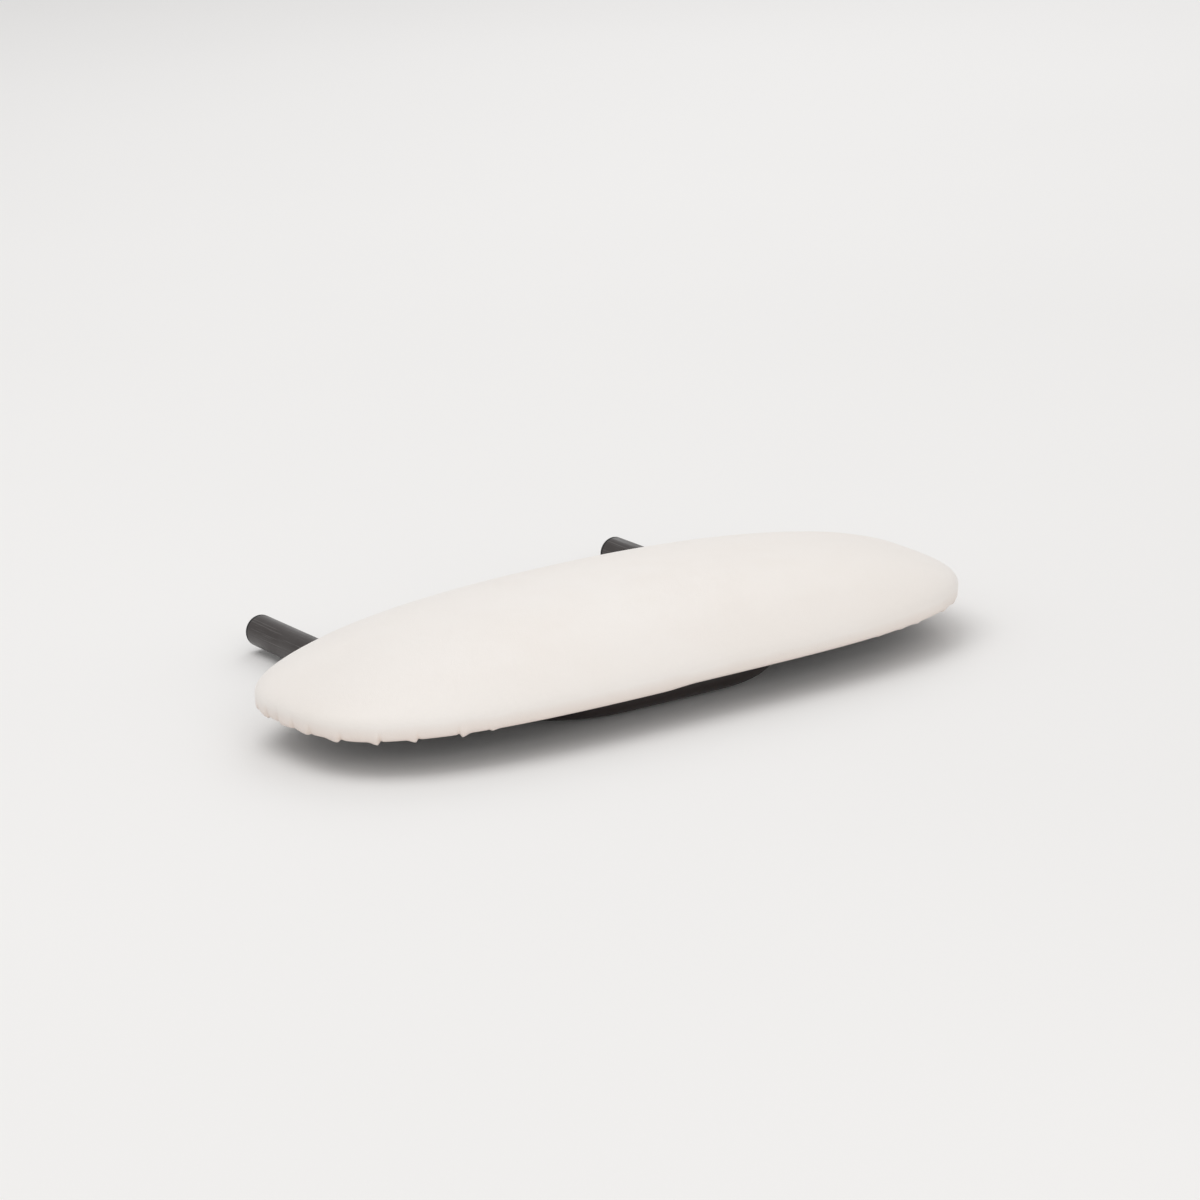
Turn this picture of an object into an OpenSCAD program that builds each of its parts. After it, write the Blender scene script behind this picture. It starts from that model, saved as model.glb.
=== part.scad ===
// Side armrest for a massage table: an upholstered pad on a plywood board,
// carried by a bent steel tube whose two prongs plug into the table's side rail.
// Millimetres. +Z is up, +Y points along the prongs towards the table, X runs along the table's edge.
// The origin is under the middle of the whole part, at the height of the clips it lies on.

/* [Pad] */
// Length of the upholstered pad, along the table's edge
pad_len = 432; // [380:1:480]
// Width of the upholstered pad, away from the table
pad_wid = 187; // [165:1:200]
// Height of the upholstered pad at its middle, without the frame
pad_h = 38; // [34:1:48]
// Share of the width that lies behind the longest line, on the table's side
back_share = 0.41; // [0.35:0.01:0.5]
// Squareness of the outer half of the outline (2 is an ellipse)
front_square = 3.5; // [2.2:0.1:4]
// Squareness of the table half of the outline (2 is an ellipse)
back_square = 2.2; // [2:0.1:3.2]
// Thickness of the plywood board
board_t = 9; // [8:1:12]
// Thickness of the firm foam layer on the board
firm_foam_t = 14; // [10:1:16]

/* [Support frame] */
// Outer diameter of the steel tube
tube_d = 19; // [16:1:22]
// Wall thickness of the steel tube
tube_wall = 2; // [1.5:0.5:3]
// Distance between the two prongs, centre to centre
prong_gap = 246; // [230:1:262]
// Straight, free length of each prong behind the pad
prong_free = 102; // [80:1:140]
// Radius of the tube's bends, on its centreline
bend_r = 57; // [40:1:62]
// Straight length of the front crossbar between its bends
crossbar = 64; // [50:1:90]
// Distance from the pad's outer edge in to the crossbar's centreline
crossbar_setback = 38; // [28:1:50]

/* [Fasteners] */
// Thread diameter of the clip screws
screw_d = 5; // [4:1:6]
// Width of each tube clip, along the tube
clip_w = 16; // [12:1:20]
// Number of staples that hold the cover
cover_staple_count = 44; // [24:2:60]
// Number of staples that hold the underside lining
lining_staple_count = 32; // [20:2:44]

/* [Hidden] */
$fn = 64;
cover_t = 1;
lining_t = 0.5;
clip_t = 2;
grip_gap = 0.05;
tube_r = tube_d / 2;
clip_in_r = tube_r + grip_gap;
clip_out_r = clip_in_r + clip_t;
foot_reach = clip_out_r + 14;
hole_reach = clip_out_r + 6.5;

// Heights, from the clips' lowest line upwards
tube_z = clip_out_r;
lining_z = tube_z + tube_r;
hem_z = lining_z + lining_t;
board_z = hem_z + cover_t;
board_top = board_z + board_t;
foam_split = board_top + firm_foam_t;
crown_z = hem_z + pad_h;

// Outline of the pad: two half superellipses that share the pad's longest line
half_len = pad_len / 2;
back_half = pad_wid * back_share;
front_half = pad_wid - back_half;
front_y = -(pad_wid + prong_free) / 2;
back_y = front_y + pad_wid;
long_line_y = back_y - back_half;
ring_points = 64;

// The dome above the straight side: its rim height and how square its section is
dome_z = hem_z + 9;
dome_rise = crown_z - dome_z;
dome_flat = 2.6;
dome_round = 1.7;
hem_w = 22;
lining_inset = 9;
edge_round = 3;

// Bent tube: the legs splay out under the pad and straighten into the prongs just behind it
prong_start = back_y + 1;
crossbar_y = front_y + crossbar_setback;
splay = atan((prong_gap / 2 - crossbar / 2 - bend_r) / (prong_start - crossbar_y - bend_r));
bend_1 = 90 - splay;
corner_x = crossbar / 2 + bend_r * sin(bend_1);
corner_y = bend_r * (1 - cos(bend_1));
leg_len = (prong_gap / 2 - crossbar / 2 - bend_r) / sin(splay);
plug_head = 3;
prong_len = prong_free - 1 - plug_head;
prong_end = prong_start + prong_len;

bend_lap = 1.2;
bend_thinning = 0.04;

// Clip places: share of each leg's straight length, from the front
clip_shares = [0.12, 0.80];
clip_names = ["front", "rear"];
sides = [-1, 1];
side_names = ["left", "right"];

screw_len = 12;
head_r = 0.95 * screw_d;
head_h = 0.55 * screw_d;
nut_flange_r = 1.7 * screw_d;
nut_flange_t = 1.2;
nut_barrel_r = 0.66 * screw_d;
staple_crown = 10;
staple_wire = 0.9;
staple_leg = 7;
staple_t = 0.45;

function signed_pow(v, p) = sign(v) * pow(abs(v), p);
// A point of the outline at angle t, moved in by inset
function rim_point(t, inset) =
    let (back = sin(t) >= 0,
         e = 2 / (back ? back_square : front_square),
         depth = back ? back_half : front_half)
    [(half_len - inset) * signed_pow(cos(t), e),
     long_line_y + (depth - inset) * signed_pow(sin(t), e)];
dense = [for (i = [0:719]) rim_point(i / 2, 0)];
function run_lengths(pts, i = 0, sum = 0, out = []) =
    i == len(pts) ? concat(out, [sum])
    : run_lengths(pts, i + 1, sum + norm(pts[(i + 1) % len(pts)] - pts[i]), concat(out, [sum]));
dense_runs = run_lengths(dense);
girth = dense_runs[len(dense)];
// Angles that part the outline's girth into equal steps
function even_angles(count, shift = 0) =
    [for (i = [0:count - 1])
        let (want = girth * (i + shift) / count,
             below = [for (k = [0:len(dense) - 1]) if (dense_runs[k] <= want) k],
             k = below[len(below) - 1],
             part = (want - dense_runs[k]) / (dense_runs[k + 1] - dense_runs[k]))
        (k + part) / 2];
ring_angles = even_angles(ring_points);
function ring(inset) = [for (t = ring_angles) rim_point(t, inset)];
function lift(ring2d, z) = [for (p = ring2d) [p[0], p[1], z]];
// Height of the dome at a share of the way from the middle (0) to the rim (1), and the way back
function dome_height(share, rise) = rise * pow(1 - pow(share, dome_flat), 1 / dome_round);
function dome_share(height, rise) = pow(1 - pow(height / rise, dome_round), 1 / dome_flat);
// A ring of the dome: the outline drawn in towards the middle of the longest line
function dome_ring(share, inset, z) =
    [for (p = ring(inset)) [p[0] * share, long_line_y + (p[1] - long_line_y) * share, z]];
dome_shares = [0.995, 0.975, 0.94, 0.89, 0.82, 0.72, 0.58, 0.4, 0.2];
function dome_rings(inset, z, rise) =
    [for (s = dome_shares) dome_ring(s, inset, z + dome_height(s, rise))];

// A closed skin over stacked rings, shut at both ends by a middle point
module skin(rings, low, high) {
    n = len(rings[0]);
    last = len(rings) - 1;
    points = concat([low], [for (r = rings) each r], [high]);
    faces = concat(
        [for (i = [0:n - 1]) [0, 1 + i, 1 + (i + 1) % n]],
        [for (k = [0:last - 1]) for (i = [0:n - 1])
            [1 + k * n + i, 1 + (k + 1) * n + i, 1 + (k + 1) * n + (i + 1) % n, 1 + k * n + (i + 1) % n]],
        [for (i = [0:n - 1]) [1 + last * n + (i + 1) % n, 1 + last * n + i, len(points) - 1]]);
    polyhedron(points, faces, convexity = 6);
}

function middle(z) = [0, long_line_y, z];

// Vinyl cover: a thin shell over the foam, drawn round the board's edge to a hem underneath
module upholstery_cover() {
    outer_low = [for (a = [0:30:90])
        lift(ring(edge_round * (1 - sin(a))), hem_z + edge_round * (1 - cos(a)))];
    outer = concat([lift(ring(hem_w), hem_z)], outer_low, [lift(ring(0), dome_z)],
        dome_rings(0, dome_z, dome_rise));
    inner = concat([lift(ring(hem_w), board_z), lift(ring(edge_round), board_z),
        lift(ring(cover_t), board_z + edge_round - cover_t), lift(ring(cover_t), dome_z)],
        dome_rings(cover_t, dome_z, dome_rise - cover_t));
    inside_down = [for (k = [len(inner) - 1:-1:0]) inner[k]];
    color("antiquewhite")
        skin(concat(inside_down, outer), middle(crown_z - cover_t), middle(crown_z));
}

// Soft top layer of foam, which gives the pad its crown
module comfort_foam() {
    rise = dome_rise - cover_t;
    start = dome_share(foam_split - dome_z, rise);
    rings = concat([dome_ring(start, cover_t, foam_split)],
        [for (s = dome_shares) if (s < start) dome_ring(s, cover_t, dome_z + dome_height(s, rise))]);
    color("lightyellow") skin(rings, middle(foam_split), middle(crown_z - cover_t));
}

// Firm layer of foam, glued to the board
module firm_foam() {
    rise = dome_rise - cover_t;
    first = board_top - dome_z;
    rings = [for (i = [0:5])
        let (z = first + (foam_split - board_top) * i / 5)
        dome_ring(dome_share(z, rise), cover_t, dome_z + z)];
    color("khaki") skin(rings, middle(board_top), middle(foam_split));
}

function leg_point(side, share) =
    [side * (corner_x + leg_len * share * sin(splay)),
     crossbar_y + corner_y + leg_len * share * cos(splay)];
module at_clip(side, share) {
    p = leg_point(side, share);
    translate([p[0], p[1], 0]) rotate(-side * splay) children();
}
module at_clip_holes(side, share) {
    for (s = sides) at_clip(side, share) translate([s * hole_reach, 0, 0]) children();
}
module at_all_holes() {
    for (side = sides) for (share = clip_shares) at_clip_holes(side, share) children();
}

// Plywood board with a hole and a flat seat for each T-nut
module base_board() {
    color("burlywood") difference() {
        union() {
            translate([0, 0, board_z]) linear_extrude(1) polygon(ring(edge_round));
            translate([0, 0, board_z + 1]) linear_extrude(board_t - 1) polygon(ring(edge_round / 2));
        }
        at_all_holes() {
            translate([0, 0, board_z - 1]) cylinder(r = nut_barrel_r, h = board_t + 2);
            translate([0, 0, board_top - nut_flange_t]) cylinder(r = nut_flange_r, h = nut_flange_t + 1);
        }
    }
}

// Non-woven lining that closes the underside and hides the hem
module underside_lining() {
    color("#2b2a2c") difference() {
        union() {
            translate([0, 0, lining_z]) linear_extrude(lining_t) polygon(ring(lining_inset));
            translate([0, 0, hem_z]) linear_extrude(cover_t) polygon(ring(hem_w));
        }
        at_all_holes() translate([0, 0, lining_z - 1]) cylinder(d = screw_d + 0.6, h = 4);
    }
}

module staple() {
    translate([-staple_crown / 2, -staple_wire / 2, 0]) cube([staple_crown, staple_wire, staple_t]);
    for (s = sides)
        translate([s * (staple_crown - staple_wire) / 2 - staple_wire / 2, -staple_wire / 2, 0])
            cube([staple_wire, staple_wire, staple_leg]);
}

// Staples along the outline, turned to lie with it; the gaps leave room for the two legs
module staple_row(count, shift, inset, z, leg_room) {
    for (t = even_angles(count, shift)) {
        p = rim_point(t, inset);
        d = rim_point(t + 0.5, inset) - rim_point(t - 0.5, inset);
        if (p[1] < long_line_y || abs(abs(p[0]) - prong_gap / 2) > leg_room)
            translate([p[0], p[1], z]) rotate(atan2(d[1], d[0])) staple();
    }
}
module cover_staples() {
    color("silver") staple_row(cover_staple_count, 0.5, 15, hem_z + 0.05, 0);
}
module lining_staples() {
    color("silver") staple_row(lining_staple_count, 0, 12.5, lining_z - staple_t, 16);
}

// The tube's ring-shaped section, its wall drawn thinner by slim on both faces
module tube_section(slim = 0) {
    difference() {
        circle(r = tube_r - slim);
        circle(r = tube_r - tube_wall + slim);
    }
}
module straight_tube(length) {
    linear_extrude(length) tube_section();
}
// A bend round the Z axis, a touch thinner than the straight runs and lapped into both
module tube_bend(from, angle) {
    rotate(from - bend_lap) rotate_extrude(angle = angle + 2 * bend_lap)
        translate([bend_r, 0]) tube_section(bend_thinning);
}

// Bent steel tube: crossbar, two corners, two splayed legs and two prongs
module support_frame() {
    color("#1b1a1c") translate([0, crossbar_y, tube_z]) {
        translate([-crossbar / 2, 0, 0]) rotate([0, 90, 0]) straight_tube(crossbar);
        for (side = sides) mirror([side < 0 ? 1 : 0, 0, 0]) {
            translate([crossbar / 2, bend_r, 0]) tube_bend(-90, bend_1);
            translate([corner_x, corner_y, 0]) rotate([-90, 0, -splay]) straight_tube(leg_len);
            translate([prong_gap / 2 - bend_r, prong_start - crossbar_y, 0]) tube_bend(-splay, splay);
            translate([prong_gap / 2, prong_start - crossbar_y, 0]) rotate([-90, 0, 0])
                straight_tube(prong_len);
        }
    }
}

// Plastic plug that closes a prong's end, with a domed head and two grip ribs
module end_plug(side) {
    bore = tube_r - tube_wall;
    color("#151515") translate([side * prong_gap / 2, prong_end, tube_z]) rotate([-90, 0, 0])
        rotate_extrude() polygon(concat(
            [[0, -14], [bore - 1.2, -14], [bore - 0.6, -12], [bore - 0.6, -9], [bore, -8.2],
             [bore, -7.4], [bore - 0.6, -7.4], [bore - 0.6, -4], [bore, -3.2], [bore, 0]],
            [for (a = [0:15:90]) [tube_r - 1.6 * (1 - cos(a)) - 0.05, plug_head - 1.6 * (1 - sin(a))]],
            [[0, plug_head]]));
}

// Steel saddle clip that straps the tube to the board
module frame_clip(side, share) {
    color("#242326") at_clip(side, share) difference() {
        translate([0, clip_w / 2, tube_z]) rotate([90, 0, 0]) linear_extrude(clip_w) difference() {
            union() {
                circle(r = clip_out_r);
                translate([-clip_out_r, 0]) square([2 * clip_out_r, tube_r]);
                translate([-foot_reach, tube_r - clip_t]) square([2 * foot_reach, clip_t]);
            }
            circle(r = clip_in_r);
            translate([-clip_in_r, 0]) square([2 * clip_in_r, tube_r + 1]);
            translate([-clip_out_r - 1, tube_r]) square([2 * clip_out_r + 2, clip_out_r]);
        }
        for (s = sides)
            translate([s * hole_reach, 0, tube_z]) cylinder(d = screw_d + 0.5, h = tube_r + 2);
    }
}

// Button-head screw, head down, up through the clip's foot into its T-nut
module clip_screw(side, share, s) {
    seat = lining_z - clip_t;
    color("dimgray") at_clip(side, share) translate([s * hole_reach, 0, seat]) {
        difference() {
            rotate_extrude() polygon(concat([[0, 0], [head_r, 0]],
                [for (a = [0:15:75]) [head_r * cos(a), -head_h * 0.25 - head_h * 0.75 * sin(a)]],
                [[0.2 * head_r, -head_h], [0, -head_h]]));
            translate([0, 0, -head_h - 1]) cylinder(d = 0.6 * screw_d, h = 0.62 * head_h + 1, $fn = 6);
        }
        cylinder(d = screw_d, h = screw_len);
    }
}

// T-nut pressed into the board's top face
module t_nut(side, share, s) {
    color("silver") at_clip(side, share) translate([s * hole_reach, 0, board_top]) difference() {
        union() {
            translate([0, 0, -nut_flange_t]) cylinder(r = nut_flange_r - 0.1, h = nut_flange_t);
            translate([0, 0, -board_t + 1]) cylinder(r = nut_barrel_r - 0.05, h = board_t - 1);
        }
        translate([0, 0, -board_t]) cylinder(d = screw_d + 0.1, h = board_t + 1);
    }
}

inner_outer = ["a", "b"];
plug_nodes = [for (s = side_names) str("end_plug_", s)];
clip_nodes = [for (s = side_names) for (c = clip_names) str("frame_clip_", c, "_", s)];
screw_nodes = [for (s = side_names) for (c = clip_names) for (k = inner_outer)
    str("clip_screw_", c, "_", s, "_", k)];
nut_nodes = [for (s = side_names) for (c = clip_names) for (k = inner_outer)
    str("t_nut_", c, "_", s, "_", k)];

upholstery_cover();
comfort_foam();
firm_foam();
base_board();
underside_lining();
cover_staples();
lining_staples();
support_frame();
for (i = [0:1]) {
    end_plug(sides[i]);
    for (c = [0:1]) {
        frame_clip(sides[i], clip_shares[c]);
        for (k = [0:1]) {
            place = 4 * i + 2 * c + k;
            clip_screw(sides[i], clip_shares[c], sides[k]);
            t_nut(sides[i], clip_shares[c], sides[k]);
        }
    }
}
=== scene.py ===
"""The looks of a plug-in side armrest for a massage table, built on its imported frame."""
import logging
import math
from dataclasses import dataclass, field
from enum import Enum
from typing import ClassVar

import bmesh
import bpy
from mathutils import Matrix, Vector, kdtree, noise


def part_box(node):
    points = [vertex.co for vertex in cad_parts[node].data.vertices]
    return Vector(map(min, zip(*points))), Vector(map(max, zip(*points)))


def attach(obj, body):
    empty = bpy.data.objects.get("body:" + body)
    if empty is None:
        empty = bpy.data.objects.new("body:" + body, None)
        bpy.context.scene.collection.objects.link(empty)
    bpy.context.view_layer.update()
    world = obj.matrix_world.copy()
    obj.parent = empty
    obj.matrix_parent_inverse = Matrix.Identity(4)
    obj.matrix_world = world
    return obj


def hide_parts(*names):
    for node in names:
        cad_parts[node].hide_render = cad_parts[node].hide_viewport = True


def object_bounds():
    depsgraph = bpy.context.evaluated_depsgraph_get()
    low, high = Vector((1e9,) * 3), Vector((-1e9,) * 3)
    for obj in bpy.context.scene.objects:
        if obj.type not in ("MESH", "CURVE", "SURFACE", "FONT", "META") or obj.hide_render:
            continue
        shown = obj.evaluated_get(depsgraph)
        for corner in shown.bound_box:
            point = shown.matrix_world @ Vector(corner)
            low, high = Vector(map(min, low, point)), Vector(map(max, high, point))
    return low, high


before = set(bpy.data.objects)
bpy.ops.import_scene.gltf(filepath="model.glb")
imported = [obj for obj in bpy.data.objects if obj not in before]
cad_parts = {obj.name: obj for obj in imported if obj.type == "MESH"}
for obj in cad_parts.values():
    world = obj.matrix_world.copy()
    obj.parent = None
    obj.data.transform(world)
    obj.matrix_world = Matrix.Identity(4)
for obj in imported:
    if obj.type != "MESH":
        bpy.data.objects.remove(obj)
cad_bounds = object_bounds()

log = logging.getLogger("armrest")
MM = 0.001
ROOT = "root"


# ---------------------------------------------------------------------------
# Finishes
# ---------------------------------------------------------------------------
class Shader:
    """A small helper that wires one procedural material."""

    def __init__(self, name: str) -> None:
        """Makes an empty node material.

        Args:
            name: The material's name.
        """
        self.material = bpy.data.materials.new(name)
        self.material.use_nodes = True
        self.tree = self.material.node_tree
        self.body = self.tree.nodes["Principled BSDF"]
        self.place = self.tree.nodes.new("ShaderNodeTexCoord").outputs["Object"]

    def node(self, kind: str, **values: object) -> bpy.types.Node:
        """Adds a node and sets its properties and input values.

        Args:
            kind: The node's type without its "ShaderNode" prefix.
            values: Property names, or input names with spaces as underscores.

        Returns:
            The new node.
        """
        made = self.tree.nodes.new("ShaderNode" + kind)
        for key, value in values.items():
            if hasattr(made, key):
                setattr(made, key, value)
            else:
                made.inputs[key.replace("_", " ")].default_value = value
        return made

    def link(self, source: bpy.types.NodeSocket, target: bpy.types.NodeSocket) -> None:
        """Links one socket to another."""
        self.tree.links.new(source, target)

    def axis(self, name: str) -> bpy.types.NodeSocket:
        """The object coordinate along one axis.

        Args:
            name: X, Y or Z.

        Returns:
            The coordinate, in metres.
        """
        split = self.node("SeparateXYZ")
        self.link(self.place, split.inputs["Vector"])
        return split.outputs[name]

    def stretched(self, scale: tuple[float, float, float]) -> bpy.types.NodeSocket:
        """Object coordinates scaled along each axis.

        Args:
            scale: The factor along X, Y and Z.

        Returns:
            The scaled coordinates.
        """
        mapping = self.node("Mapping")
        mapping.inputs["Scale"].default_value = scale
        self.link(self.place, mapping.inputs["Vector"])
        return mapping.outputs["Vector"]

    def noise(self, scale: float, detail: float = 2.0, rough: float = 0.5,
              where: bpy.types.NodeSocket | None = None) -> bpy.types.NodeSocket:
        """A noise value.

        Args:
            scale: Cells per metre.
            detail: Octaves.
            rough: Strength of the finer octaves.
            where: Coordinates, or the object's own when None.

        Returns:
            The noise's value socket.
        """
        made = self.node("TexNoise", Scale=scale, Detail=detail, Roughness=rough)
        self.link(where or self.place, made.inputs["Vector"])
        return made.outputs["Fac"]

    def cells(self, scale: float, feature: str = "DISTANCE_TO_EDGE") -> bpy.types.NodeSocket:
        """A Voronoi distance value.

        Args:
            scale: Cells per metre.
            feature: The Voronoi feature.

        Returns:
            The distance socket.
        """
        made = self.node("TexVoronoi", feature=feature, Scale=scale)
        self.link(self.place, made.inputs["Vector"])
        return made.outputs["Distance"]

    def remap(self, value: bpy.types.NodeSocket, low: float, high: float,
              to_low: float, to_high: float) -> bpy.types.NodeSocket:
        """Maps a value's range onto another, clamped.

        Args:
            value: The value to map.
            low: Start of its range.
            high: End of its range.
            to_low: Result at low.
            to_high: Result at high.

        Returns:
            The mapped value.
        """
        made = self.node("MapRange", From_Min=low, From_Max=high, To_Min=to_low, To_Max=to_high)
        self.link(value, made.inputs["Value"])
        return made.outputs["Result"]

    def mix(self, share: bpy.types.NodeSocket, first: tuple[float, ...] | bpy.types.NodeSocket,
            second: tuple[float, ...] | bpy.types.NodeSocket) -> bpy.types.NodeSocket:
        """Mixes two colours.

        Args:
            share: How much of the second shows.
            first: A colour or a colour socket.
            second: A colour or a colour socket.

        Returns:
            The mixed colour.
        """
        made = self.node("Mix", data_type="RGBA")
        self.link(share, made.inputs["Factor"])
        for name, colour in (("A", first), ("B", second)):
            socket = next(s for s in made.inputs if s.name == name and s.type == "RGBA")
            if isinstance(colour, bpy.types.NodeSocket):
                self.link(colour, socket)
            else:
                socket.default_value = (*colour[:3], 1.0)
        return next(s for s in made.outputs if s.type == "RGBA")

    def sum(self, first: bpy.types.NodeSocket, second: bpy.types.NodeSocket,
            weight: float) -> bpy.types.NodeSocket:
        """Adds a weighted value to another.

        Args:
            first: The value that counts in full.
            second: The value that is weighted.
            weight: The weight.

        Returns:
            first + second * weight.
        """
        made = self.node("Math", operation="MULTIPLY_ADD")
        self.link(second, made.inputs[0])
        made.inputs[1].default_value = weight
        self.link(first, made.inputs[2])
        return made.outputs["Value"]

    def bump(self, height: bpy.types.NodeSocket, depth: float, strength: float = 1.0,
             under: bpy.types.NodeSocket | None = None) -> bpy.types.NodeSocket:
        """A bump from a height value.

        Args:
            height: The height, from 0 to 1.
            depth: What 1 stands for, in metres.
            strength: The bump's strength.
            under: A bump below this one.

        Returns:
            The bent normal.
        """
        made = self.node("Bump", Distance=depth, Strength=strength)
        self.link(height, made.inputs["Height"])
        if under is not None:
            self.link(under, made.inputs["Normal"])
        return made.outputs["Normal"]

    def surface(self, **values: object) -> None:
        """Sets or links the Principled shader's inputs.

        Args:
            values: Input names with spaces as underscores, each a number, colour or socket.
        """
        for key, value in values.items():
            socket = self.body.inputs[key.replace("_", " ")]
            if isinstance(value, bpy.types.NodeSocket):
                self.link(value, socket)
            elif isinstance(value, tuple):
                socket.default_value = (*value[:3], 1.0)
            else:
                socket.default_value = value


@dataclass(frozen=True)
class CreamVinyl:
    """Soft cream synthetic leather with a fine pebble grain."""

    top: tuple[float, float, float] = (0.905, 0.868, 0.833)
    warm: tuple[float, float, float] = (0.885, 0.838, 0.795)
    # fold is the colour of the painted shade laid in the tucks' valleys.
    fold: tuple[float, float, float] = (0.72, 0.56, 0.45)
    # edge is the colour of the painted shade on the lower edge, where the light falls off towards
    # the hem.
    edge: tuple[float, float, float] = (0.80, 0.705, 0.645)
    roughness: float = 0.46
    # Painted shade band on the lower edge: where it starts and ends above the hem, and how much it
    # wavers.
    edge_shade_low: float = 0.5 * MM
    edge_shade_high: float = 9.5 * MM
    edge_shade_waver: float = 3 * MM
    pebbles: float = 1150.0
    grain_depth: float = 0.07 * MM
    pucker_depth: float = 0.12 * MM
    fold_shade_share: float = 0.75

    def make(self, hem: float) -> bpy.types.Material:
        """Wires the grain, the faint mottling, the painted shade on the lower edge and the painted
        shade in the folds.

        Args:
            hem: Height of the cover's lower edge.

        Returns:
            The finished material.
        """
        s = Shader("cream_vinyl")
        drift = s.remap(s.noise(9.0, 3.0), 0.35, 0.65, 0.0, 1.0)
        tone = s.mix(drift, self.top, self.warm)
        # Painted shade: the vinyl darkens towards the hem, standing in for the shade under the
        # edge's roll.
        painted_edge_shade = s.remap(s.sum(s.axis("Z"), s.noise(45.0, 3.0), self.edge_shade_waver),
                          hem + self.edge_shade_low, hem + self.edge_shade_high, 1.0, 0.0)
        tone = s.mix(painted_edge_shade, tone, self.edge)
        # Painted shade in the tucks' valleys, read from the crease attribute.
        crease = s.node("Attribute", attribute_name="crease")
        shade = s.remap(crease.outputs["Fac"], 0.05, 0.95, 0.0, self.fold_shade_share)
        pebble = s.remap(s.cells(self.pebbles), 0.0, 0.28, 0.0, 1.0)
        fine = s.noise(2600.0, 2.0)
        height = s.sum(pebble, fine, 0.35)
        soft = s.bump(s.noise(160.0, 3.0), self.pucker_depth, 0.5)
        grain = s.bump(height, self.grain_depth, 0.8, soft)
        gloss = s.remap(s.noise(70.0, 3.0), 0.3, 0.7, self.roughness - 0.04, self.roughness + 0.05)
        s.surface(Base_Color=s.mix(shade, tone, self.fold), Roughness=gloss, Normal=grain,
                  Specular_IOR_Level=0.42, Sheen_Weight=0.12, Sheen_Roughness=0.4)
        return s.material


@dataclass(frozen=True)
class PowderCoat:
    """Satin black powder coat with a light orange peel and rubbed prongs."""

    name: str
    black: tuple[float, float, float] = (0.026, 0.0185, 0.0170)
    worn: tuple[float, float, float] = (0.055, 0.050, 0.048)
    rubbed: tuple[float, float, float] = (0.16, 0.155, 0.15)
    roughness: float = 0.32
    peel_depth: float = 0.05 * MM
    rubbed_from: float | None = None
    rub_fade: float = 30 * MM

    def make(self) -> bpy.types.Material:
        """Wires the peel, the dust and, on the prongs, the long rub marks.

        Returns:
            The finished material.
        """
        s = Shader(self.name)
        peel = s.bump(s.noise(620.0, 2.0), self.peel_depth, 0.55)
        dust = s.remap(s.noise(38.0, 5.0, 0.6), 0.52, 0.75, 0.0, 0.35)
        colour = s.mix(dust, self.black, self.worn)
        gloss = s.remap(s.noise(55.0, 4.0), 0.3, 0.7, self.roughness - 0.05, self.roughness + 0.10)
        if self.rubbed_from is not None:
            lines = s.remap(s.noise(1.0, 5.0, 0.65, s.stretched((1500.0, 22.0, 1500.0))),
                            0.56, 0.66, 0.0, 1.0)
            reach = s.remap(s.axis("Y"), self.rubbed_from, self.rubbed_from + self.rub_fade,
                            0.0, 0.5)
            both = s.node("Math", operation="MULTIPLY")
            s.link(lines, both.inputs[0])
            s.link(reach, both.inputs[1])
            colour = s.mix(both.outputs["Value"], colour, self.rubbed)
        s.surface(Base_Color=colour, Roughness=gloss, Normal=peel, Metallic=0.0,
                  Specular_IOR_Level=0.5)
        return s.material


@dataclass(frozen=True)
class ZincSteel:
    """Zinc-plated steel with fine draw lines and a cloudy plating."""

    name: str
    colour: tuple[float, float, float] = (0.56, 0.56, 0.57)
    roughness: float = 0.34
    clouded: float = 0.72
    scratch_depth: float = 0.03 * MM

    def make(self) -> bpy.types.Material:
        """Wires the cloudy plating and its fine scratches.

        Returns:
            The finished material.
        """
        s = Shader(self.name)
        cloud = s.remap(s.noise(240.0, 4.0, 0.6), 0.3, 0.7, 0.0, 1.0)
        darker = tuple(self.clouded * c for c in self.colour)
        scratch = s.noise(1.0, 3.0, 0.6, s.stretched((5200.0, 700.0, 5200.0)))
        s.surface(Base_Color=s.mix(cloud, self.colour, darker), Metallic=1.0,
                  Roughness=s.remap(cloud, 0.0, 1.0, self.roughness - 0.06, self.roughness + 0.12),
                  Normal=s.bump(scratch, self.scratch_depth, 0.4))
        return s.material


@dataclass(frozen=True)
class BlackFelt:
    """Black non-woven lining of pressed fibres, with its pattern of point bonds."""

    fibre: tuple[float, float, float] = (0.032, 0.030, 0.031)
    pale: tuple[float, float, float] = (0.085, 0.082, 0.084)
    bonds: float = 520.0
    fibre_depth: float = 0.18 * MM

    def make(self) -> bpy.types.Material:
        """Wires crossed fibres and the bonded dots.

        Returns:
            The finished material.
        """
        s = Shader("black_felt")
        one = s.noise(1.0, 4.0, 0.7, s.stretched((2400.0, 260.0, 500.0)))
        two = s.noise(1.0, 4.0, 0.7, s.stretched((260.0, 2400.0, 500.0)))
        web = s.sum(one, two, 1.0)
        dots = s.remap(s.cells(self.bonds, "F1"), 0.10, 0.30, 0.0, 1.0)
        height = s.sum(web, dots, 0.5)
        s.surface(Base_Color=s.mix(s.remap(web, 0.8, 1.3, 0.0, 1.0), self.fibre, self.pale),
                  Roughness=0.92, Specular_IOR_Level=0.25, Sheen_Weight=0.35,
                  Normal=s.bump(height, self.fibre_depth, 0.7))
        return s.material


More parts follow.
